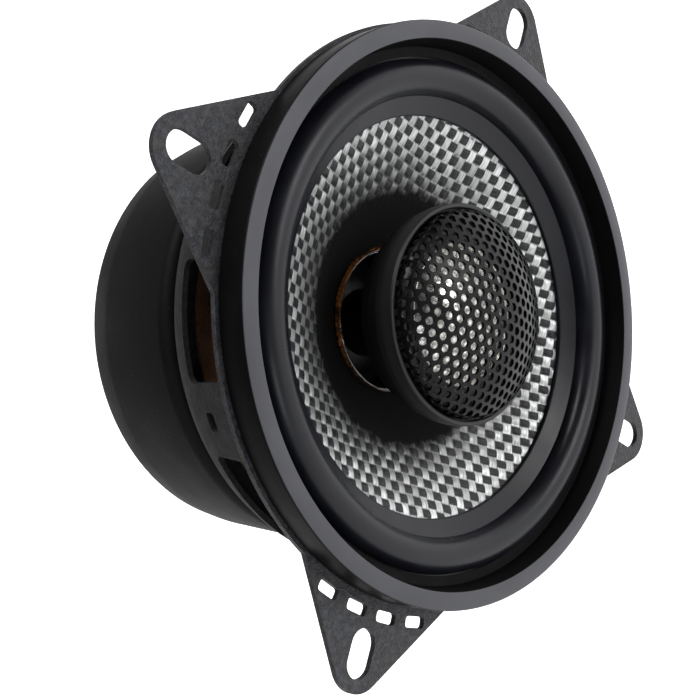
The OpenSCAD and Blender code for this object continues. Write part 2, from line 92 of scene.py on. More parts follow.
# -------- mesh tools
def row(points):
    """Points on the speaker's own axes, as the frame's rows in metres."""
    p = np.asarray(points, float).reshape(-1, 3)
    return np.stack([p[:, 0], -p[:, 2], p[:, 1]], 1) * MM


def linked(name, data):
    """A new object in the scene."""
    obj = bpy.data.objects.new(name, data)
    bpy.context.scene.collection.objects.link(obj)
    return obj


def make(name, points, faces, materials, body="frame", sharp=35.0, pick=None):
    """A mesh piece. pick gives each face's material from its radius, its height and how far it
    faces the front, where there are several."""
    mesh = bpy.data.meshes.new(name)
    mesh.from_pydata(row(points).tolist(), [], [tuple(int(i) for i in f) for f in faces])
    work = bmesh.new()
    work.from_mesh(mesh)
    bmesh.ops.remove_doubles(work, verts=work.verts, dist=1e-7)
    bmesh.ops.dissolve_degenerate(work, edges=work.edges, dist=1e-8)
    bmesh.ops.recalc_face_normals(work, faces=work.faces)
    work.to_mesh(mesh)
    work.free()
    materials = materials if isinstance(materials, (list, tuple)) else [materials]
    for material in materials:
        mesh.materials.append(material)
    if pick:
        centre = np.array([face.center for face in mesh.polygons]) / MM
        facing = np.array([-face.normal.y for face in mesh.polygons])
        chosen = pick(np.hypot(centre[:, 0], centre[:, 2]), -centre[:, 1], facing)
        mesh.polygons.foreach_set("material_index", np.asarray(chosen, np.int32))
    mesh.shade_smooth()
    mesh.set_sharp_from_angle(angle=radians(sharp))
    obj = linked(name, mesh)
    if body:
        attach(obj, body)
    return obj


def rounded(corners, steps=4):
    """A closed outline of (x, y, radius) corners, each turned into a short curve.

    A curve takes at most 0.45 of the edge on each side, and is drawn a quarter in towards its chord.
    """
    out = []
    count = len(corners)
    for i, corner in enumerate(corners):
        p, radius = np.array(corner[:2], float), corner[2]
        if radius <= 0:
            out.append(p)
            continue
        back = np.array(corners[i - 1][:2], float) - p
        ahead = np.array(corners[(i + 1) % count][:2], float) - p
        lengths = norm(back), norm(ahead)
        back, ahead = back / lengths[0], ahead / lengths[1]
        angle = acos(max(-1, min(1, float(back @ ahead))))
        cut = min(radius / tan(angle / 2), 0.45 * lengths[0], 0.45 * lengths[1])
        for k in range(steps + 1):
            t = k / steps
            a, b = p + back * cut, p + ahead * cut
            curve = (1 - t) ** 2 * a + 2 * t * (1 - t) * p + t * t * b
            out.append(0.25 * ((1 - t) * a + t * b) + 0.75 * curve if 0 < k < steps else curve)
    return out


def arc(cx, cy, radius, start, end, steps):
    """Points of an arc between two angles in degrees."""
    return [
        (cx + radius * cos(a), cy + radius * sin(a))
        for a in np.radians(np.linspace(start, end, steps + 1))
    ]


def turned(profile, segments=256, warp=None):
    """Points and faces of a closed profile of (r, z) turned about the axis."""
    profile = np.asarray(profile, float)
    angles = np.linspace(0, TURN, segments, endpoint=False)
    r, a = np.meshgrid(profile[:, 0], angles)
    z = np.broadcast_to(profile[:, 1], r.shape).copy()
    if warp:
        r, z = warp(r, a, z)
    points = np.stack([r * np.cos(a), r * np.sin(a), z], -1).reshape(-1, 3)
    n = len(profile)
    i, j = np.meshgrid(np.arange(segments), np.arange(n), indexing="ij")
    k, m = (i + 1) % segments, (j + 1) % n
    faces = np.stack([i * n + j, k * n + j, k * n + m, i * n + m], -1).reshape(-1, 4)
    return points, faces


def lathe(name, profile, materials, segments=256, warp=None, **rest):
    """A turned mesh piece. warp(r, angle, z) moves its points before they are placed."""
    points, faces = turned(profile, segments, warp)
    return make(name, points, faces, materials, **rest)


def joined(*parts):
    """Several lots of points and faces as one."""
    points, faces, base = [], [], 0
    for p, f in parts:
        p = np.asarray(p, float).reshape(-1, 3)
        points.append(p)
        faces += [tuple(int(i) + base for i in face) for face in f]
        base += len(p)
    return np.concatenate(points), faces


def spline(route, per_span=6):
    """A smooth curve through a route's points."""
    p = np.asarray(route, float)
    p = np.vstack([2 * p[0] - p[1], p, 2 * p[-1] - p[-2]])
    out = []
    for i in range(1, len(p) - 2):
        for t in np.linspace(0, 1, per_span, endpoint=False):
            a, b, c, d = p[i - 1], p[i], p[i + 1], p[i + 2]
            curve = 2 * b + (c - a) * t + (2 * a - 5 * b + 4 * c - d) * t**2
            out.append(0.5 * (curve + (3 * b - a - 3 * c + d) * t**3))
    out.append(p[-2])
    return np.array(out)


def directions(path):
    """The unit vector along a path at each of its points."""
    ahead = np.gradient(path, axis=0)
    return ahead / norm(ahead, axis=1)[:, None]


def distances(path):
    """How far along a path each of its points is."""
    return np.concatenate([[0], np.cumsum(norm(np.diff(path, axis=0), axis=1))])


def frames_along(path):
    """Two directions across a path at each point, turned as little as possible along it."""
    ahead = directions(path)
    side = np.cross(ahead[0], (0.3, 0.2, 0.93))
    sides = []
    for t in ahead:
        side = side - t * (side @ t)
        side = side / norm(side)
        sides.append(side)
    sides = np.array(sides)
    return sides, np.cross(ahead, sides)


def tube_faces(count, sides):
    """Faces of a tube of count rings of points, the last two of them its ends."""
    faces = []
    for low in range(0, (count - 1) * sides, sides):
        for j in range(sides):
            k = (j + 1) % sides
            faces.append((low + j, low + k, low + sides + k, low + sides + j))
    last = (count - 1) * sides
    return faces + [tuple(range(sides - 1, -1, -1)), tuple(range(last, last + sides))]


def tube(path, radius, sides=12, twist=0.0, offset=0.0, phase=0.0):
    """A round wire along a path. With offset it winds round the path, twist turns a millimetre."""
    path = np.asarray(path, float)
    u, v = frames_along(path)
    if offset:
        w = distances(path) * twist * TURN + phase
        path = path + offset * (np.cos(w)[:, None] * u + np.sin(w)[:, None] * v)
        u, v = frames_along(path)
    a = np.linspace(0, TURN, sides, endpoint=False)
    ring = np.cos(a)[None, :, None] * u[:, None] + np.sin(a)[None, :, None] * v[:, None]
    return (path[:, None] + radius * ring).reshape(-1, 3), tube_faces(len(path), sides)


def rotated(points, degrees):
    """Points turned about the axis."""
    p = np.array(points, float)
    c, s = cos(radians(degrees)), sin(radians(degrees))
    p[:, 0], p[:, 1] = p[:, 0] * c - p[:, 1] * s, p[:, 0] * s + p[:, 1] * c
    return p


def from_across(points):
    """Points given as distance out, distance across and height at the terminals."""
    return rotated(points, TERMINAL_TURN)


def stands_for(node):
    """A new piece takes a CAD node's place: the node is hidden."""
    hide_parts(node)


def bends(obj, weight_of):
    """Bakes obj's placement into its mesh, frees it from any parent and works out a weight from 0 to 1
    at each point, which nothing uses.
    """
    obj.parent = None
    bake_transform(obj)
    co = np.array([v.co for v in obj.data.vertices]) / MM
    weights = weight_of(np.hypot(co[:, 0], co[:, 2]), -co[:, 1])
    weights = np.clip(weights, 0, 1)
    return obj


# -------- material tools
class Nodes:
    """A material's node tree, written as expressions."""

    def __init__(self, name):
        self.material = bpy.data.materials.new(name)
        self.material.use_nodes = True
        self.tree = self.material.node_tree
        self.shader = self.tree.nodes["Principled BSDF"]
        self.place = self.add("TexCoord").outputs["Object"]

    def add(self, kind, inputs=(), **settings):
        node = self.tree.nodes.new("ShaderNode" + kind)
        for key, value in settings.items():
            setattr(node, key, value)
        for key, value in dict(inputs).items():
            self.join(value, node.inputs[key])
        return node

    def join(self, value, socket):
        if isinstance(value, bpy.types.NodeSocket):
            self.tree.links.new(value, socket)
        else:
            socket.default_value = value

    def plus(self, a, b, clamp=False):
        return self.math("ADD", a, b, clamp)

    def minus(self, a, b):
        return self.math("SUBTRACT", a, b)

    def times(self, a, b, clamp=False):
        return self.math("MULTIPLY", a, b, clamp)

    def math(self, operation, a, b=0.0, clamp=False):
        node = self.add("Math", operation=operation, use_clamp=clamp)
        self.join(a, node.inputs[0])
        self.join(b, node.inputs[1])
        return node.outputs[0]

    def noise(self, scale, detail=2.0, roughness=0.5, place=None):
        """scale is in blobs a millimetre"""
        inputs = {"Vector": place or self.place, "Scale": scale / MM, "Detail": detail}
        inputs["Roughness"] = roughness
        return self.add("TexNoise", inputs).outputs["Fac"]

    def cells(self, scale):
        """The distance from the middles of soft cells, scale of them a millimetre."""
        inputs = {"Vector": self.place, "Scale": scale / MM}
        return self.add("TexVoronoi", inputs, feature="SMOOTH_F1").outputs["Distance"]

    def spread(self, value, low=0.3, high=0.7, to_low=0.0, to_high=1.0):
        """value, moved from the range low to high to the range to_low to to_high."""
        inputs = {"Value": value, "From Min": low, "From Max": high, "To Min": to_low, "To Max": to_high}
        return self.add("MapRange", inputs).outputs[0]

    def point(self, **inputs):
        return self.add("CombineXYZ", inputs).outputs[0]

    def mix(self, factor, a, b):
        node = self.add("Mix", data_type="RGBA")
        self.join(factor, node.inputs["Factor"])
        self.join(self.colour(a), node.inputs["A"])
        self.join(self.colour(b), node.inputs["B"])
        return node.outputs["Result"]

    def colour(self, value):
        if isinstance(value, bpy.types.NodeSocket):
            return value
        return (*value, 1.0)

    def parts(self):
        """A point's x, y and z on the speaker's axes and its distance from the axis, in millimetres."""
        split = self.add("SeparateXYZ", {"Vector": self.place}).outputs
        x = self.times(split["X"], 1 / MM)
        y = self.times(split["Z"], 1 / MM)
        z = self.times(split["Y"], -1 / MM)
        r = self.math("SQRT", self.plus(self.times(x, x), self.times(y, y)))
        return x, y, z, r

    def bump(self, height, depth, strength=1.0):
        """depth is the height in millimetres that a value of 1 stands for"""
        inputs = {"Height": height, "Distance": depth * MM, "Strength": strength}
        return self.add("Bump", inputs).outputs[0]

    def finish(self, colour, roughness, metallic=0.0, normal=None, **fixed):
        """Joins the shader's inputs. fixed are settings of its own sockets, all over the surface."""
        self.join(self.colour(colour), self.shader.inputs["Base Color"])
        self.join(roughness, self.shader.inputs["Roughness"])
        self.join(metallic, self.shader.inputs["Metallic"])
        if normal is not None:
            self.join(normal, self.shader.inputs["Normal"])
        for key, value in fixed.items():
            self.shader.inputs[key.replace("_", " ")].default_value = value
        return self.material


DUST = (0.3, 0.29, 0.28)
WALL_SHADE_RADII = (47.0, 48.6)  # painted shade: the paint's colour is made darker inside these radii, on the basket's wall


def crinkle_paint():
    """Black crinkle paint on pressed steel, with a fine hammered grain and worn grey patches."""
    n = Nodes("crinkle_paint")
    wrinkle = n.noise(2.6, 3, 0.6)
    veins = n.cells(3.4)
    dust = n.noise(0.35, 4, 0.65)
    flecks = n.noise(1.5, 4, 0.75)
    mottle = n.noise(0.9, 3, 0.7)
    base = n.mix(n.spread(wrinkle, 0.35, 0.7), (0.006, 0.0062, 0.008), (0.02, 0.0205, 0.026))
    base = n.mix(n.spread(mottle, 0.44, 0.64, 0, 0.7), base, (0.05, 0.052, 0.061))
    base = n.mix(n.spread(dust, 0.46, 0.72, 0, 0.55), base, (0.05, 0.042, 0.038))
    base = n.mix(n.spread(flecks, 0.58, 0.75, 0, 0.5), base, (0.085, 0.084, 0.085))
    height = n.plus(n.times(wrinkle, 0.7), n.times(veins, 0.5))
    *_, r = n.parts()
    # painted shade: inside these radii the wall and floor, under the flange, are darkened
    wall = n.spread(r, *WALL_SHADE_RADII, 1.0, 0.0)
    base = n.mix(n.times(wall, 0.72), base, (0.004, 0.0037, 0.0034))
    rough = n.plus(n.spread(dust, 0.3, 0.7, 0.44, 0.64), n.times(wall, 0.25), clamp=True)
    return n.finish(base, rough, 0.0, n.bump(height, 0.22), Specular_IOR_Level=0.3)


def moulded(name, colour, roughness, grain=0.02, grain_scale=4.0, speck=0.15, shine=0.5):
    """Moulded plastic or rubber, or a plain coat, with fine grain, uneven gloss and dust specks."""
    n = Nodes(name)
    grit = n.noise(grain_scale, 3)
    broad = n.noise(0.12, 3)
    specks = n.spread(n.noise(1.9, 2, 0.7), 0.72, 0.8, 0, speck)
    tone = n.mix(n.spread(broad), [c * 0.8 for c in colour], [c * 1.2 for c in colour])
    tone = n.mix(specks, tone, DUST)
    rough = n.plus(n.spread(broad, 0.3, 0.7, roughness - 0.05, roughness + 0.05), specks)
    return n.finish(tone, rough, 0.0, n.bump(grit, grain), Specular_IOR_Level=shine)


def plated(name, colour, roughness=0.3, lines=0.0, grain=0.02):
    """Plated or turned metal, with rings of tool marks about the speaker's axis if lines is set."""
    n = Nodes(name)
    *_, z, r = n.parts()
    cloud = n.noise(0.25, 4, 0.6)
    tone = n.mix(n.spread(cloud), [c * 0.8 for c in colour], colour)
    height = n.noise(5.0, 2)
    if lines:
        turning = n.noise(3.0, 2, place=n.point(X=n.times(r, MM), Z=n.times(z, MM)))
        height = n.plus(n.times(height, 0.3), n.times(turning, lines))
    rough = n.spread(cloud, 0.3, 0.7, roughness * 0.8, roughness * 1.3)
    return n.finish(tone, rough, 1.0, n.bump(height, grain))


WEAVE_U, WEAVE_V = 1.87, 1.76  # pitch of the black yarns and of the silver ones
WEAVE_TURN = radians(7)
BLACK_HALF = 0.39  # half of a black yarn's width, in pitches
NECK_EDGE = (22.8, 24.4)  # the near-black colour at the neck gives way to the weave between these radii
NECK_SHADE_EDGE = (24.0, 33.0)  # painted shade over the cloth next to the neck fades out between these


def weave_axes(n, x, y):
    """The weave's two directions at a point, in yarns."""
    c, s = cos(WEAVE_TURN), sin(WEAVE_TURN)
    u = n.plus(n.times(x, c / WEAVE_U), n.times(y, s / WEAVE_U))
    v = n.minus(n.times(y, c / WEAVE_V), n.times(x, s / WEAVE_V))
    drift = n.noise(0.06, 1)
    return n.plus(u, n.spread(drift, 0, 1, -0.25, 0.25)), v


def woven_cone(name, coat=0.0):
    """Plain weave of silvered glass yarns over black ones, near black towards the neck, with painted
    shade darkening the cloth next to it.

    coat is how far that darkening next to the neck is spread over the whole face.
    """
    n = Nodes(name)
    x, y, _, r = n.parts()
    u, v = weave_axes(n, x, y)
    cell_u, cell_v = n.math("FLOOR", u), n.math("FLOOR", v)
    odd = n.math("MODULO", n.math("ABSOLUTE", n.plus(cell_u, cell_v)), 2.0)
    part_u = n.math("ABSOLUTE", n.minus(n.math("FRACT", u), 0.5))
    part_v = n.math("ABSOLUTE", n.minus(n.math("FRACT", v), 0.5))
    # a black yarn's crown laps a little over the silver rows above and below it
    lap = n.plus(n.spread(part_u, 0.2, BLACK_HALF, 0.035, 0.075), 0.4)
    capped = n.math("MAXIMUM", odd, n.math("GREATER_THAN", part_v, lap))
    black = n.times(capped, n.spread(part_u, BLACK_HALF + 0.02, BLACK_HALF - 0.02))

    def fibres(along, across, seed):
        """Long thin streaks, 13 across a yarn."""
        grain = n.point(X=n.times(along, 0.9), Y=n.times(across, 13.0), Z=seed)
        return n.add("TexNoise", {"Vector": grain, "Scale": 1.0, "Detail": 3.0}).outputs["Fac"]

    silver_fibre, black_fibre = fibres(u, v, 3.7), fibres(v, u, 8.1)
    tone_of_cell = n.add("TexWhiteNoise", {"Vector": n.point(X=cell_u, Y=cell_v)}).outputs["Value"]
    silver = n.mix(tone_of_cell, (0.42, 0.43, 0.42), (0.82, 0.84, 0.84))
    silver = n.mix(n.spread(silver_fibre, 0.35, 0.68, 0, 0.75), silver, (0.16, 0.16, 0.155))
    # painted shade: the silver yarn is darkened where it dives under its neighbours
    dive_shade = n.times(n.spread(part_v, 0.36, 0.5), 0.75)
    dive_shade = n.math("MAXIMUM", dive_shade, n.times(odd, n.spread(part_u, 0.5, 0.4, 0.15, 0.8)))
    silver = n.mix(dive_shade, silver, (0.05, 0.05, 0.05))
    dark = n.mix(n.spread(black_fibre, 0.4, 0.7), (0.006, 0.006, 0.007), (0.045, 0.045, 0.048))
    # painted shade: next to the neck the silver yarns are darkened and the black ones greyed, in a
    # patchy band
    film = n.plus(r, n.spread(n.noise(0.25, 3, 0.6), 0.25, 0.75, -2.5, 2.5))
    film = n.spread(film, *NECK_SHADE_EDGE, 1.0, coat)
    silver = n.mix(n.times(film, 0.8 + 0.14 * coat), silver, (0.07 - 0.05 * coat,) * 3)
    dark = n.mix(n.times(film, 0.6), dark, (0.028 - 0.018 * coat,) * 3)
    tone = n.mix(black, silver, dark)
    edge = n.plus(r, n.spread(n.noise(0.55, 4, 0.7), 0.2, 0.8, -1.1, 1.1))
    neck = n.spread(edge, *NECK_EDGE, 1.0, 0.0)
    tone = n.mix(neck, tone, (0.0014, 0.0013, 0.0012))
    metal = n.times(n.minus(1.0, neck), n.minus(1.0, black), clamp=True)
    fibre = n.add("Mix", {"Factor": black, "A": silver_fibre, "B": black_fibre}).outputs[0]
    fibre = n.times(fibre, n.spread(neck, 0, 1, 1.0, 0.25))
    rough = n.plus(n.spread(fibre, 0.3, 0.7, 0.3, 0.46), n.times(neck, 0.55), clamp=True)
    metal = n.times(metal, 0.55)
    return n.finish(tone, rough, metal, n.bump(fibre, 0.05, 0.7), Specular_IOR_Level=0.2)


def amber_glue():
    """Glossy glue, amber on one side of the neck and nearly black round the rest of it: painted light on
    the side facing up towards the overhead light, painted shade round the rest.
    """
    n = Nodes("amber_glue")
    lumps = n.noise(1.1, 3)
    x, y, *_ = n.parts()
    # painted light and shade: amber on the upper side, towards the overhead light, nearly black round
    # the rest
    turn, bead_r = radians(68), 14
    side = n.plus(n.times(x, cos(turn) / bead_r), n.times(y, sin(turn) / bead_r))
    patch = n.plus(n.times(side, 0.26), n.plus(n.noise(0.16, 2), -0.1))
    tone = n.mix(n.spread(lumps, 0.35, 0.65), (0.03, 0.008, 0.002), (0.30, 0.10, 0.016))
    tone = n.mix(n.spread(patch, 0.45, 0.6, 0.96, 0.0), tone, (0.006, 0.003, 0.002))
    rough = n.spread(lumps, 0.3, 0.7, 0.06, 0.2)
    return n.finish(tone, rough, 0.0, n.bump(lumps, 0.25), Coat_Weight=1.0, Coat_Roughness=0.05)


def spider_cloth():
    """Resin-dipped cotton: amber, with a fine square weave."""
    n = Nodes("spider_cloth")
    x, y, *_ = n.parts()
    pitch = 11.0  # radians a millimetre
    threads = n.plus(n.math("SINE", n.times(x, pitch)), n.math("SINE", n.times(y, pitch)))
    patch = n.noise(0.2, 3)
    tone = n.mix(n.spread(patch), (0.085, 0.027, 0.007), (0.2, 0.075, 0.02))
    tone = n.mix(n.spread(threads, -2, 1.2, 0.45, 0.0), tone, (0.08, 0.03, 0.01))
    return n.finish(tone, 0.55, 0.0, n.bump(threads, 0.03), Sheen_Weight=0.2)


def winding_wire():
    """Enamelled copper wire."""
    n = Nodes("winding_wire")
    tone = n.mix(n.noise(0.5, 3), (0.45, 0.14, 0.04), (0.75, 0.32, 0.12))
    return n.finish(tone, 0.25, 0.85, n.bump(n.noise(3.0, 2), 0.02), Coat_Weight=0.5)


def laminate():
    """Phenolic board: brown paper laminate with faint fibres."""
    n = Nodes("phenolic_laminate")
    fibres = n.noise(1.4, 5, 0.7)
    tone = n.mix(n.spread(fibres), (0.13, 0.055, 0.02), (0.26, 0.13, 0.055))
    return n.finish(tone, 0.42, 0.0, n.bump(fibres, 0.03))


def floor_white():
    """A white floor that gives off its own light, so that it stays pale all over."""
    n = Nodes("studio_floor")
    tone = n.mix(n.noise(0.004, 2), (0.9, 0.9, 0.9), (0.93, 0.93, 0.93))
    return n.finish(tone, 0.9, Emission_Color=(1.0, 1.0, 1.0, 1.0), Emission_Strength=1.0)


BASKET_PAINT = crinkle_paint()
# trim ring: the front's satin grey and the side's black are partly the finish, partly painted light on
# the front and painted shade on the side
RING_FACE = moulded("trim_ring_satin_painted_light", (0.033, 0.0335, 0.041), 0.42, 0.02, 5.0, 0.14, 0.4)
RING_SIDE = moulded("trim_ring_gloss_painted_shade", (0.0026, 0.0026, 0.003), 0.48, 0.06, 0.7, 0.2, 0.11)
# painted shade: an even darker copy for the ring's recessed well
RING_WELL_SHADE = moulded("trim_ring_well_painted_shade", (0.0015, 0.0015, 0.0018), 0.6, 0.01, 7.0, 0.03, 0.08)
SURROUND_RUBBER = moulded("surround_rubber", (0.0055, 0.0058, 0.009), 0.32, 0.012, 5.0, 0.08, 0.25)
BOOT_RUBBER = moulded("boot_rubber", (0.005, 0.0048, 0.005), 0.62, 0.06, 2.2, 0.3, 0.12)
POD_PLASTIC = moulded("pod_plastic", (0.0042, 0.0042, 0.0048), 0.42, 0.012, 6.0, 0.08, 0.32)
GRILLE_PAINT = moulded("grille_paint", (0.0024, 0.0024, 0.003), 0.25, 0.01, 6.0, 0.05, 0.15)
CONE_WEAVE = woven_cone("woven_cone")
CONE_BACK = woven_cone("woven_cone_back", 1.0)
GLUE = amber_glue()
SPIDER_CLOTH = spider_cloth()
COPPER = winding_wire()
BOARD = laminate()
ALUMINIUM = plated("bright_aluminium", (0.55, 0.55, 0.56), 0.2, 0.4)
DOME_METAL = plated("dome_metal", (0.97, 0.95, 0.9), 0.2, grain=0.003)
STEEL = plated("zinc_steel", (0.45, 0.45, 0.44), 0.34, 0.6)
BLACK_STEEL = moulded("black_oxide_steel", (0.004, 0.004, 0.0042), 0.5, 0.02, 5.0, 0.08, 0.25)
# painted shade: a darker copy of the former's aluminium, for the inside of the tube
FORMER_INSIDE_SHADE = plated("former_inside_shade", (0.09, 0.085, 0.08), 0.42, 0.4)
FERRITE = moulded("ferrite", (0.03, 0.03, 0.032), 0.5, 0.04, 3.0, 0.1)
BRASS = plated("plated_brass", (0.55, 0.39, 0.16), 0.3, grain=0.01)
TIN = plated("tin_plate", (0.5, 0.5, 0.49), 0.34, grain=0.01)
NICKEL = plated("nickel_plate", (0.78, 0.76, 0.73), 0.15)
TINSEL = plated("tinsel_copper", (0.8, 0.47, 0.3), 0.3)
SOLDER = plated("solder", (0.55, 0.55, 0.54), 0.25, grain=0.01)
SLEEVE = moulded("capacitor_sleeve", (0.01, 0.02, 0.08), 0.2, 0.01)
RED_WIRE = moulded("red_insulation", (0.35, 0.012, 0.01), 0.3, 0.01)
BLACK_WIRE = moulded("black_insulation", (0.012, 0.012, 0.012), 0.32, 0.01)
FILM = moulded("suspension_film", (0.02, 0.02, 0.021), 0.4, 0.02)


# -------- basket
class Sheet:
    """The basket's pressed steel as one sheet: s runs round the axis and v along the profile."""

    def __init__(self):
        corners = [
            (15.4, FLOOR_Z, 0), (42.0, FLOOR_Z, 1.2), (43.1, -19.6, 1.5), (44.0, -17.3, 3.0),
            (46.1, -3.0, 5.0), (46.1, FLANGE_Z, 0.9), (72.0, FLANGE_Z, 0),
        ]
        line = np.array(rounded(corners, 8))
        dense = []
        for a, b in zip(line, line[1:]):
            count = max(1, int(norm(b - a) / 0.25))
            dense += [a + (b - a) * k / count for k in range(count)]
        self.line = np.array(dense + [line[-1]])
        self.v = distances(self.line)
        tangent = directions(self.line)
        self.normal = np.stack([tangent[:, 1], -tangent[:, 0]], 1)
        self.scale = 46.0  # the radius on which s is measured
        height = self.line[:, 1]
        self.flange = height > FLANGE_Z - 0.01
        self.floor = height < FLOOR_Z + 0.01
        self.wall = (height > FLOOR_Z + 0.2) & (height < FLANGE_Z - 0.2)

    def at(self, v, side):
        """Radius and height at v, side millimetres out from the sheet's middle."""
        return (
            np.interp(v, self.v, self.line[:, k]) + side * np.interp(v, self.v, self.normal[:, k])
            for k in (0, 1)
        )

    def v_of_radius(self, r, flat):
        """v at a radius on a flat part, which is the flange or the floor."""
        return np.interp(r, self.line[flat, 0], self.v[flat])

    def v_of_height(self, z):
        """v at a height on the wall."""
        return np.interp(z, self.line[self.wall, 1], self.v[self.wall])

    def radius_of_height(self, z):
        return np.interp(z, self.line[self.wall, 1], self.line[self.wall, 0])


def fine(outline, step, closed=True):
    """The outline with points added so that none of its edges is longer than step."""
    out = []
    for a, b in zip(outline, outline[1:] + (outline[:1] if closed else [])):
        a, b = np.array(a, float), np.array(b, float)
        count = max(1, ceil(norm(b - a) / step))
        out += [a + (b - a) * k / count for k in range(count)]
    if not closed:
        out.append(np.array(outline[-1], float))
    return out


def inside(points, outline):
    """Which points lie inside a closed outline."""
    result = np.zeros(len(points), bool)
    x, y = points[:, 0], points[:, 1]
    for (x0, y0), (x1, y1) in zip(outline, np.roll(outline, -1, axis=0)):
        if y0 == y1:
            continue
        crosses = ((y0 > y) != (y1 > y)) & (x < (x1 - x0) * (y - y0) / (y1 - y0) + x0)
        result ^= crosses
    return result


def within(points, loops):
    """Which points lie inside the first loop and outside the others."""
    result = inside(points, loops[0])
    for hole in loops[1:]:
        result &= ~inside(points, hole)
    return result


def filled(outline, holes, spacing):
    """Triangles of an outline with holes, with points about spacing apart inside it."""
    loops = [np.array(outline)] + [np.array(h) for h in holes]
    edge_points = np.concatenate(loops)
    low, high = edge_points.min(0), edge_points.max(0)
    xs = np.arange(low[0], high[0], spacing)
    ys = np.arange(low[1], high[1], spacing * 0.866)
    gx, gy = np.meshgrid(xs, ys)
    gx[1::2] += spacing / 2
    grid = np.stack([gx.ravel(), gy.ravel()], 1)
    grid = grid[within(grid, loops)]
    near = np.full(len(grid), 1e9)
    for start in range(0, len(edge_points), 256):
        part = edge_points[start : start + 256]
        near = np.minimum(near, norm(grid[:, None] - part[None], axis=2).min(1))
    grid = grid[near > spacing * 0.55]
    edges, base = [], 0
    for loop in loops:
        n = len(loop)
        edges += [(base + i, base + (i + 1) % n) for i in range(n)]
        base += n
    points = [Vector(p) for p in np.concatenate([edge_points, grid])]
    made, _, faces, *_ = delaunay_2d_cdt(points, edges, [], 0, 1e-7)
    made = np.array([tuple(p) for p in made])
    faces = np.array([tuple(f) for f in faces])
    return made, faces[within(made[faces].mean(1), loops)]


def basket_outline(sheet, seam):
    """The sheet's edge: the floor's hole below, the flange with its ears above, the seam beside."""
    tip_round, root_turn, flange_r = 5.8, radians(20), 51.6
    tip = EAR_TIP_R - tip_round
    root = np.array([cos(root_turn), sin(root_turn)]) * flange_r
    away = hypot(root[0] - tip, root[1])
    touch = degrees(atan2(root[1], root[0] - tip) - acos(tip_round / away))
    half = [tuple(root)] + arc(tip, 0, tip_round, touch, 0, 10)
    ear = [(x, -y) for x, y in half] + half[::-1][1:]
    xy = []
    for turn in EARS:
        xy += list(rotated(ear, turn))
        xy += arc(0, 0, flange_r, turn + 21, turn + 69, 40)
    xy = np.array(fine(xy, 1.2))
    angle = np.unwrap(np.arctan2(xy[:, 1], xy[:, 0]))
    radius = np.hypot(xy[:, 0], xy[:, 1])
    order = np.argsort((angle - seam) % TURN)
    angle = (angle[order] - seam) % TURN
    top_v = sheet.v_of_radius(radius[order], sheet.flange)
    top = list(zip(angle * sheet.scale, top_v))
    length = TURN * sheet.scale
    ends = 0.3  # points of the top edge this close to the seam are left out
    edge_v = float(sheet.v_of_radius(flange_r, sheet.flange))
    rise = fine([(0, 0), (0, edge_v)], 1.5, closed=False)
    up = [(length, p[1]) for p in rise]
    down = [(0, p[1]) for p in rise[::-1]]
    bottom = [(x, 0) for x in np.linspace(0, length, 160)[1:-1]]
    return bottom + up + [p for p in top[::-1] if ends < p[0] < length - ends] + down


